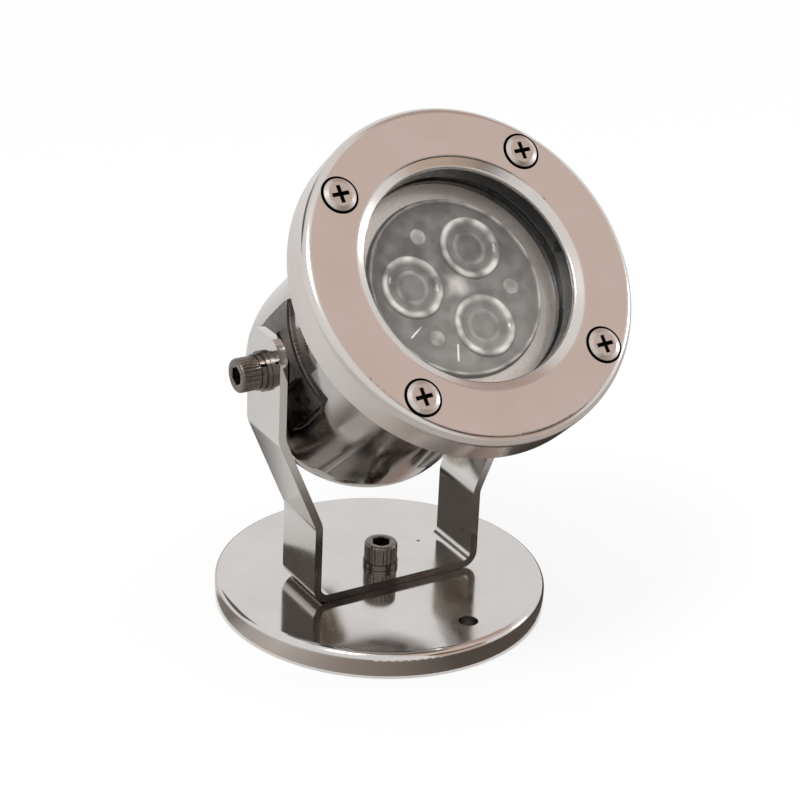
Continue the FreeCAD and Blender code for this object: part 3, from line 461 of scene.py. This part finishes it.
# the cable entry's axis points back along the lamp's, and down from level by the lamp's tilt
entry_axis = next(mount["axis"] for mount in frame["record"]["mounts"] if mount["name"] == "cable_entry")
LAMP_TILT = math.radians(round(math.degrees(math.atan2(-entry_axis[2], entry_axis[1])), 1))
PIVOT = np.array([0, 0, PIVOT_HEIGHT]) * MM
LAMP_AXIS = np.array([0, -math.cos(LAMP_TILT), math.sin(LAMP_TILT)])
LAMP_UP = np.array([0, math.sin(LAMP_TILT), math.cos(LAMP_TILT)])
LAMP_RIGHT = np.array([1.0, 0, 0])
CAN_RADIUS = in_mm(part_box("can")[1].x)
CAN_LINES = 0.8 * MM
CAN_SMUDGE = 20 * MM
PICKLE_SIZE = 2.5 * MM
LUG_HALF_WIDTH = 16.0
LUG_HALF_LENGTH = 11.5
BEAD_RADIUS = 0.75
BEAD_NECK = 0.75
BEAD_SWELL = 0.3
BEAD_RIPPLE = 1.3
BEAD_POWER = 6
BEAD_SPREAD = 1.02
BEAD_LIFT = 0.15
BEAD_OVERHANG = 0.2
BEAD_STEPS = 220
BEAD_SIDES = 10


def lamp_coordinates(tree):
    """Object coordinates turned to the lamp's own frame: its pivot at zero and Z along its axis."""
    place = add(tree, "TexCoord").outputs["Object"]
    turned = add(tree, "Mapping", {"Vector": place, "Location": tuple(PIVOT),
                                   "Rotation": (math.pi / 2 - LAMP_TILT, 0, 0)}, vector_type="TEXTURE")
    return turned.outputs[0]


def lathe_lines(tree, spacing):
    """Noise on the radius and height on the lamp's axis alone, so that it runs round it in rings."""
    parts = add(tree, "SeparateXYZ", {0: lamp_coordinates(tree)})
    flat = add(tree, "CombineXYZ", {0: parts.outputs[0], 1: parts.outputs[1]})
    radius = add(tree, "VectorMath", {0: flat.outputs[0]}, operation="LENGTH")
    rings = add(tree, "CombineXYZ", {0: radius.outputs["Value"], 1: parts.outputs[2]})
    noise = add(tree, "TexNoise", {"Vector": rings.outputs[0], "Scale": 1 / spacing, "Detail": 2.0})
    return noise.outputs[0]


# Deep-drawn stainless, polished on the lathe: a near mirror in soft rings, with duller patches. The
# rings are drawn coarser than real polishing lines so that they show.
can_steel, tree = new_material("lathe_polished_stainless")
rings = lathe_lines(tree, CAN_LINES)
smudges = stretched_noise(tree, lamp_coordinates(tree), CAN_SMUDGE, CAN_SMUDGE, 4.0)
haze_and_painted_light = add(tree, "MapRange", {"Value": smudges, "From Min": 0.3, "From Max": 0.7,
                              "To Min": 0.04, "To Max": 0.12})
scratched = add(tree, "Math", {0: rings, 1: 0.06, 2: haze_and_painted_light.outputs[0]}, operation="MULTIPLY_ADD")
tint = add(tree, "Mix", {0: smudges, 6: linear("#cbc9c7"), 7: linear("#a59f9a")}, data_type="RGBA")
dents = add(tree, "Bump", {"Height": rings, "Strength": 0.08, "Distance": 0.1 * MM})
bare_metal(tree, tint, scratched.outputs[0], dents)
dress(can_steel, "can")

# Stainless strip, pickled after welding and left unpolished: dark grey, dull and faintly clouded.
lug_steel, tree = new_material("pickled_stainless_sheet")
place = add(tree, "TexCoord").outputs["Object"]
scale = stretched_noise(tree, place, PICKLE_SIZE, PICKLE_SIZE, 5.0)
rough = add(tree, "MapRange", {"Value": scale, "From Min": 0.3, "From Max": 0.7,
                               "To Min": 0.22, "To Max": 0.42})
tint = add(tree, "Mix", {0: scale, 6: linear("#3f3b39"), 7: linear("#625d5a")}, data_type="RGBA")
dents = add(tree, "Bump", {"Height": scale, "Strength": 0.1, "Distance": 0.1 * MM})
bare_metal(tree, tint, rough.outputs[0], dents)
dress(lug_steel, "left_lug", "right_lug")


def weld_bead(name, side):
    """A bead round a lug's foot: a round section carried along a rounded rectangle wrapped on the can.

    The path is a superellipse in arc length and lamp height, and the section's radius swells with the
    rectified sine of the distance along it, once for each ripple.
    """
    t = np.linspace(0, 2 * np.pi, BEAD_STEPS, endpoint=False)
    size = (np.abs(np.cos(t)) ** BEAD_POWER + np.abs(np.sin(t)) ** BEAD_POWER) ** (-1 / BEAD_POWER)
    reach = np.arcsin(LUG_HALF_WIDTH / CAN_RADIUS) * BEAD_SPREAD
    swing = reach * size * np.cos(t)
    height = (LUG_HALF_LENGTH + BEAD_OVERHANG) * size * np.sin(t)
    outward = np.cos(swing)[:, None] * LAMP_RIGHT * side + np.sin(swing)[:, None] * LAMP_UP
    path = PIVOT + (outward * (CAN_RADIUS + BEAD_LIFT) + height[:, None] * LAMP_AXIS) * MM
    along = np.roll(path, -1, 0) - np.roll(path, 1, 0)
    step = np.linalg.norm(np.roll(path, -1, 0) - path, axis=1)
    distance = np.concatenate([[0], np.cumsum(step)[:-1]])
    ripples = round(step.sum() / (BEAD_RIPPLE * MM))
    swell = BEAD_NECK + BEAD_SWELL * np.abs(np.sin(np.pi * ripples * distance / step.sum()))
    along /= np.linalg.norm(along, axis=1)[:, None]
    across = np.cross(along, outward)
    turn = np.linspace(0, 2 * np.pi, BEAD_SIDES, endpoint=False)
    section = np.cos(turn)[None, :, None] * outward[:, None] + np.sin(turn)[None, :, None] * across[:, None]
    points = path[:, None] + section * (BEAD_RADIUS * MM * swell)[:, None, None]
    k, j = np.meshgrid(np.arange(BEAD_STEPS), np.arange(BEAD_SIDES), indexing="ij")
    here, there = k * BEAD_SIDES, (k + 1) % BEAD_STEPS * BEAD_SIDES
    after = (j + 1) % BEAD_SIDES
    faces = np.stack([here + j, here + after, there + after, there + j], -1)
    bead = new_mesh(name, points.reshape(-1, 3), faces.reshape(-1, 4), smooth=True)
    bead.data.materials.append(lug_steel)
    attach(bead, "lamp")


weld_bead("left_weld_bead", -1)
weld_bead("right_weld_bead", 1)


# ---- Bezel, flange and screws ----
# The bezel ring is turned from stainless plate and satin-polished: soft rings of tool marks on the
# face, a bright rounded edge and lip. Four pan screws with cross recesses pull it to the flange.

BEZEL_PITCH = 42.2
BEZEL_CLOCK = math.radians(49.0)
BEZEL_LINES = 0.6 * MM
BEZEL_CLOUD = 14 * MM
COUNTERBORE_RADIUS = 5.5
COUNTERBORE_SHADE_TOP = 57.3
RECESS_RADIUS = 2.8
RECESS_MIDDLE = 55.7
RECESS_HALF = 2.25
HEAD_EDGE = 4.73
HEAD_PEEL = 0.9 * MM
GRIT_SIZE = 0.7 * MM
BLASTED_ROUGHNESS = 0.45


def from_screw_axis(tree):
    """Distance from the nearest bezel screw's axis, and height on the lamp's axis, in metres.

    Turned by its clock and an eighth of a turn, the pattern has a screw on each diagonal, so absolute
    values fold all four onto one.
    """
    turned = add(tree, "Mapping", {"Vector": lamp_coordinates(tree),
                                   "Rotation": (0, 0, math.pi / 4 - BEZEL_CLOCK)})
    folded = add(tree, "VectorMath", {0: turned.outputs[0]}, operation="ABSOLUTE")
    parts = add(tree, "SeparateXYZ", {0: folded.outputs[0]})
    flat = add(tree, "CombineXYZ", {0: parts.outputs[0], 1: parts.outputs[1]})
    corner = BEZEL_PITCH * MM / math.sqrt(2)
    reach = add(tree, "VectorMath", {0: flat.outputs[0], 1: (corner, corner, 0)}, operation="DISTANCE")
    return reach.outputs["Value"], parts.outputs[2]


# Turned and satin-polished stainless: a soft sheen in rings, which are drawn coarser than real tool
# marks so that they show, with painted shade in the counterbores round the screw heads.
satin_steel, tree = new_material("satin_turned_stainless")
rings = lathe_lines(tree, BEZEL_LINES)
cloud = stretched_noise(tree, lamp_coordinates(tree), BEZEL_CLOUD, BEZEL_CLOUD, 3.0)
soft = add(tree, "MapRange", {"Value": cloud, "From Min": 0.3, "From Max": 0.7,
                              "To Min": 0.14, "To Max": 0.22})
scratched = add(tree, "Math", {0: rings, 1: 0.06, 2: soft.outputs[0]}, operation="MULTIPLY_ADD")
reach, height = from_screw_axis(tree)
# painted shade: the wall and floor of each counterbore, below its top, are darkened to near black
inside = add(tree, "MapRange", {"Value": reach, "From Min": (COUNTERBORE_RADIUS + 0.15) * MM,
                                "From Max": COUNTERBORE_RADIUS * MM})
below = add(tree, "MapRange", {"Value": height, "From Min": COUNTERBORE_SHADE_TOP * MM,
                               "From Max": (COUNTERBORE_SHADE_TOP - 0.4) * MM})
painted_recess_shade = add(tree, "Math", {0: inside.outputs[0], 1: below.outputs[0]}, operation="MULTIPLY").outputs[0]
tint = add(tree, "Mix", {0: cloud, 6: linear("#d3cfcc"), 7: linear("#c8c0bb")}, data_type="RGBA")
tint = add(tree, "Mix", {0: painted_recess_shade, 6: tint.outputs[2], 7: linear("#1f1b19")}, data_type="RGBA")
dents = add(tree, "Bump", {"Height": rings, "Strength": 0.06, "Distance": 0.05 * MM})
bare_metal(tree, tint, scratched.outputs[0], dents)
dress(satin_steel, "bezel_ring")

# The screws' tumbled heads: bright and a little pebbled, with painted shade in their recesses and
# in the gap round each head.
head_steel, tree = new_material("tumbled_stainless_pan_head")
reach, height = from_screw_axis(tree)
# painted shade: each head's cross recess and the gap round its edge are darkened to near black
inside = add(tree, "MapRange", {"Value": reach, "From Min": (RECESS_RADIUS + 0.1) * MM,
                                "From Max": (RECESS_RADIUS - 0.1) * MM})
level = add(tree, "Math", {0: height, 1: RECESS_MIDDLE * MM, 2: RECESS_HALF * MM}, operation="COMPARE")
outside = add(tree, "MapRange", {"Value": reach, "From Min": (HEAD_EDGE - 0.05) * MM,
                                 "From Max": (HEAD_EDGE + 0.05) * MM})
painted_recess_shade = add(tree, "Math", {0: inside.outputs[0], 1: level.outputs[0], 2: outside.outputs[0]},
            operation="MULTIPLY_ADD").outputs[0]
peel = stretched_noise(tree, lamp_coordinates(tree), HEAD_PEEL, HEAD_PEEL, 3.0)
tint = add(tree, "Mix", {0: peel, 6: linear("#d2cdc9"), 7: linear("#b5ada7")}, data_type="RGBA")
tint = add(tree, "Mix", {0: painted_recess_shade, 6: tint.outputs[2], 7: linear("#1f1b19")}, data_type="RGBA")
rough = add(tree, "Math", {0: painted_recess_shade, 1: 0.25, 2: 0.3}, operation="MULTIPLY_ADD")
dents = add(tree, "Bump", {"Height": peel, "Strength": 0.2, "Distance": 0.05 * MM})
bare_metal(tree, tint, rough.outputs[0], dents)
dress(head_steel, "bezel_screws")

# Blasted steel under the glass and at the flange: matt, with the sparkle of coarse grit.
blasted_steel, tree = new_material("bead_blasted_stainless")
grit = stretched_noise(tree, lamp_coordinates(tree), GRIT_SIZE, GRIT_SIZE, 4.0)
tint = add(tree, "Mix", {0: grit, 6: linear("#c4bab3"), 7: linear("#f0e8e2")}, data_type="RGBA")
dents = add(tree, "Bump", {"Height": grit, "Strength": 0.5, "Distance": 0.15 * MM})
bare_metal(tree, tint, BLASTED_ROUGHNESS, dents)
dress(blasted_steel, "glass_seat_ring", "can_flange")


# ---- Seals ----
# Black silicone: a U-shaped ring grips the glass, and its black collar lines the bore as the dark
# wall under the lip, a dark part that stands in for the shade down the bore; flat rings seal the
# flange and the gland. Moulded smooth, it shines softly.

BLOOM_SIZE = 6 * MM
SILICONE_IOR = 1.45

# Moulded silicone: almost black, with a soft sheen that a faint bloom dulls in patches.
silicone, tree = new_material("moulded_black_silicone")
bloom = stretched_noise(tree, lamp_coordinates(tree), BLOOM_SIZE, BLOOM_SIZE, 3.0)
rough = add(tree, "MapRange", {"Value": bloom, "From Min": 0.3, "From Max": 0.7,
                               "To Min": 0.22, "To Max": 0.4})
tint = add(tree, "Mix", {0: bloom, 6: linear("#0f0e0e"), 7: linear("#1b1a19")}, data_type="RGBA")
skin = add(tree, "BsdfPrincipled", {"Base Color": tint.outputs[2], "Roughness": rough.outputs[0],
                                    "IOR": SILICONE_IOR})
add(tree, "OutputMaterial", {"Surface": skin.outputs[0]})
# the glass gasket's collar is a black part put where the bore is in shade
dress(silicone, "glass_gasket", "flange_gasket", "gland_ring", "gland_seal")


# ---- Glass ----
# A 5 mm toughened soda-lime disc with ground edges, faintly green through its thickness.

DUST_SIZE = 9 * MM
GLASS_IOR = 1.52

# Soda-lime glass: clear, with sharp reflections that a little dust softens in places.
pane, tree = new_material("toughened_soda_lime_glass")
dust = stretched_noise(tree, lamp_coordinates(tree), DUST_SIZE, DUST_SIZE, 4.0)
rough = add(tree, "MapRange", {"Value": dust, "From Min": 0.5, "From Max": 0.8,
                               "To Min": 0.0, "To Max": 0.03})
skin = add(tree, "BsdfPrincipled", {"Base Color": linear("#fcfdfc"), "Roughness": rough.outputs[0],
                                    "IOR": GLASS_IOR, "Transmission Weight": 1.0})
add(tree, "OutputMaterial", {"Surface": skin.outputs[0]})
dress(pane, "glass")
# lets the soft boxes light the lenses behind it
nodes["glass"].visible_shadow = False


# ---- Lens moulding ----
# One injection moulding of clear acrylic holds three collimator lenses with polished rims and
# dished fronts, and three pegs. It is drawn opaque, with its smoky grey painted in as shade and
# the light its rims catch painted in as highlights.

LENS_PLATE_RADIUS = in_mm(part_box("lens_plate")[1].x)
LENS_PLATE_BACK = 42.9
LENS_PLATE_FACE = 43.6
LENS_PITCH = 13.3
LENS_CLOCK = math.radians(51.0)
LENS_RADIUS = 9.2
LENS_BACK = 34.3
PEG_PITCH = 17.3
PEG_RADIUS = 2.35
BOARD_FACE = 33.3
GATE_ANGLES = (213.0, 252.0)
GATE_PITCH = 19.6
GATE_RISE = 0.12
FLOW_SIZE = 5 * MM
ACRYLIC_IOR = 1.49


def on_lamp(radius, angle):
    """A point in the plane across the lamp's axis at the pivot, at a radius in mm and an angle."""
    return PIVOT + radius * MM * (math.cos(angle) * LAMP_RIGHT + math.sin(angle) * LAMP_UP)


def soft_line(points, count):
    """Points spread evenly by number along a line of (radius, height, painted light and shade) corners."""
    points = np.asarray(points, float)
    t = np.linspace(0, len(points) - 1, count)
    return np.stack([np.interp(t, np.arange(len(points)), points[:, k]) for k in range(points.shape[1])], 1)


def moulding_part(corners, centre, samples, steps):
    """A lathe part of the moulding, with the painted light and shade of each profile point for its vertices."""
    line = soft_line(corners, samples)
    points, faces = lathe(line[:, :2], centre, LAMP_AXIS, LAMP_RIGHT, steps=steps)
    shade = np.concatenate([np.repeat(line[1:-1, 2], steps), line[[0, -1], 2]])
    return points, faces, shade


face = LENS_PLATE_FACE
# each corner's third value is painted light and shade: low on the smoky plate, high on the rims, peg tops, centre
# spots and gate scars
plate_line = [(0, LENS_PLATE_BACK, 0.1), (LENS_PLATE_RADIUS, LENS_PLATE_BACK, 0.1),
              (LENS_PLATE_RADIUS, face + 0.6, 0.2), (LENS_PLATE_RADIUS - 0.3, face + 0.85, 0.4),
              (LENS_PLATE_RADIUS - 0.9, face + 0.6, 0.15), (LENS_PLATE_RADIUS - 1.3, face, 0.03),
              (LENS_PLATE_RADIUS - 4, face, 0.09), (12, face, 0.09), (4.5, face, 0.16),
              (1.5, face, 0.42), (0, face, 0.45)]
lens_line = [(0, LENS_BACK, 0.1), (4.6, LENS_BACK, 0.1), (LENS_RADIUS - 0.3, LENS_PLATE_BACK, 0.1),
             (LENS_RADIUS + 0.15, face, 0.08), (LENS_RADIUS, face + 0.5, 0.22),
             (LENS_RADIUS - 0.3, face + 0.9, 0.45), (LENS_RADIUS - 0.9, face + 1.0, 0.6),
             (LENS_RADIUS - 1.5, face + 0.8, 0.48), (LENS_RADIUS - 2.1, face + 0.4, 0.2),
             (LENS_RADIUS - 2.7, face + 0.1, 0.08), (5.4, face - 0.1, 0.14), (4.6, face + 0.15, 0.22),
             (3.9, face + 0.05, 0.17), (2.9, face - 0.35, 0.2), (1.5, face - 0.7, 0.28),
             (0, face - 0.8, 0.26)]
peg_line = [(0, BOARD_FACE, 0.1), (PEG_RADIUS, BOARD_FACE, 0.1), (PEG_RADIUS, face, 0.12),
            (PEG_RADIUS - 0.1, face + 0.15, 0.34), (PEG_RADIUS - 0.5, face + 0.22, 0.32),
            (0, face + 0.15, 0.26)]
# a gate scar is a low bar that lies along a radius of the plate, turned about its own length
gate_line = [(0, -2.6, 0.9), (0.28, -2.5, 1.0), (0.32, 0, 1.0), (0.28, 2.5, 1.0), (0, 2.6, 0.9)]
parts = [moulding_part(plate_line, PIVOT, 90, 144)]
for third in range(3):
    swing = LENS_CLOCK + third * math.tau / 3
    parts.append(moulding_part(lens_line, on_lamp(LENS_PITCH, swing), 136, 96))
    parts.append(moulding_part(peg_line, on_lamp(PEG_PITCH, swing + math.pi / 3), 40, 48))
for angle in np.radians(GATE_ANGLES):
    outward = math.cos(angle) * LAMP_RIGHT + math.sin(angle) * LAMP_UP
    centre = on_lamp(GATE_PITCH, angle) + (face + GATE_RISE) * MM * LAMP_AXIS
    points, faces = lathe(soft_line(gate_line, 17)[:, :2], centre, outward, LAMP_AXIS, steps=12)
    parts.append((points, faces, np.ones(len(points))))

points, faces, shades, offset = [], [], [], 0
for part_points, part_faces, part_shade in parts:
    points.append(part_points)
    faces += [[k + offset for k in corners] for corners in part_faces]
    shades.append(part_shade)
    offset += len(part_points)
moulding = new_mesh("lens_moulding", np.concatenate(points), faces, smooth=True)
# each vertex carries its painted light and shade
shade = moulding.data.attributes.new("shade", "FLOAT", "POINT")
shade.data.foreach_set("value", np.concatenate(shades))

# Clear acrylic drawn opaque and glossy throughout. Its colour is painted light and shade from the
# outlines' third value: the smoky grey is painted shade and the pale rims are painted highlights,
# made uneven in clouds by the flow noise.
acrylic, tree = new_material("moulded_optical_acrylic")
amount = add(tree, "Attribute", attribute_name="shade").outputs["Fac"]
flow = stretched_noise(tree, lamp_coordinates(tree), FLOW_SIZE, FLOW_SIZE, 1.0)
# painted light: the moulding is made paler towards its bottom
height = add(tree, "SeparateXYZ", {0: lamp_coordinates(tree)}).outputs[1]
haze_and_painted_light = add(tree, "MapRange", {"Value": height, "From Min": 10 * MM, "From Max": -26 * MM, "To Max": 0.16})
uneven = add(tree, "MapRange", {"Value": flow, "From Min": 0.35, "From Max": 0.65,
                                "To Min": 0.3, "To Max": 1.5})
mixed = add(tree, "Math", {0: uneven.outputs[0], 1: amount, 2: haze_and_painted_light.outputs[0]}, operation="MULTIPLY_ADD")
tone = add(tree, "ValToRGB", {0: mixed.outputs[0]}, [(0.0, "#171513"), (1.0, "#f2ece6")]).outputs[0]
rough = add(tree, "MapRange", {"Value": flow, "From Min": 0.3, "From Max": 0.7,
                               "To Min": 0.06, "To Max": 0.16})
skin = add(tree, "BsdfPrincipled", {"Base Color": tone, "Roughness": rough.outputs[0], "IOR": ACRYLIC_IOR})
add(tree, "OutputMaterial", {"Surface": skin.outputs[0]})
moulding.data.materials.append(acrylic)
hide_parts("lens_plate")
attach(moulding, "lamp")


# ---- Light source and driver ----
# Inside the can, on a turned aluminium heat sink: a board with three emitters, its leads, and
# behind it the driver board on brass standoffs.

def plain(name, dark, light, cell, roughness, metallic=0.0):
    """A material whose colour wanders between two hex colours in cells of one size, in mm."""
    made, tree = new_material(name)
    noise = stretched_noise(tree, add(tree, "TexCoord").outputs["Object"], cell * MM, cell * MM, 3.0)
    tint = add(tree, "Mix", {0: noise, 6: linear(dark), 7: linear(light)}, data_type="RGBA")
    dents = add(tree, "Bump", {"Height": noise, "Strength": 0.1, "Distance": 0.05 * MM})
    skin = add(tree, "BsdfPrincipled", {"Base Color": tint.outputs[2], "Roughness": roughness,
                                        "Metallic": metallic, "Normal": dents.outputs[0]})
    add(tree, "OutputMaterial", {"Surface": skin.outputs[0]})
    return made


# White solder mask over aluminium: even, with a low shine.
dress(plain("white_solder_mask", "#c9cac6", "#e4e4e0", 2.0, 0.35), "led_board")
# Ceramic under a phosphor-filled dome: a soft, even yellow.
dress(plain("phosphor_and_ceramic", "#cdbb55", "#e5d77a", 0.6, 0.5), "led_emitters")
# Extruded silicone insulation: red, with a slight bloom.
dress(plain("silicone_wire_insulation", "#7d1712", "#9c211a", 1.0, 0.45), "lead_wires")
# Turned aluminium, bare: pale grey metal with a soft shine.
dress(plain("turned_aluminium", "#a9abad", "#c4c6c8", 0.8, 0.3, 1.0), "heat_sink")
# Green solder mask over glass and epoxy: semi-gloss and faintly mottled.
dress(plain("green_glass_epoxy_board", "#0d4a2a", "#17643b", 1.2, 0.4), "driver_board")
# Ferrite and moulded epoxy: near black and fairly matt.
dress(plain("moulded_ferrite_and_epoxy", "#1d1d1f", "#2c2c2f", 0.7, 0.5), "driver_inductor", "driver_chip")
# Shrunk vinyl sleeve: dark blue with a low shine.
dress(plain("capacitor_sleeve", "#16202e", "#22304a", 1.5, 0.35), "driver_capacitor")


# ---- Cable gland ----
# A nickel-plated brass gland in the back of the can, with a dome nut and a lock nut.

# Nickel over turned brass: a warm grey metal, fairly bright.
dress(plain("nickel_plated_brass", "#b3aca2", "#cbc5ba", 1.5, 0.22, 1.0), "gland_body", "gland_lock_nut",
      "gland_dome_nut", "driver_standoffs")
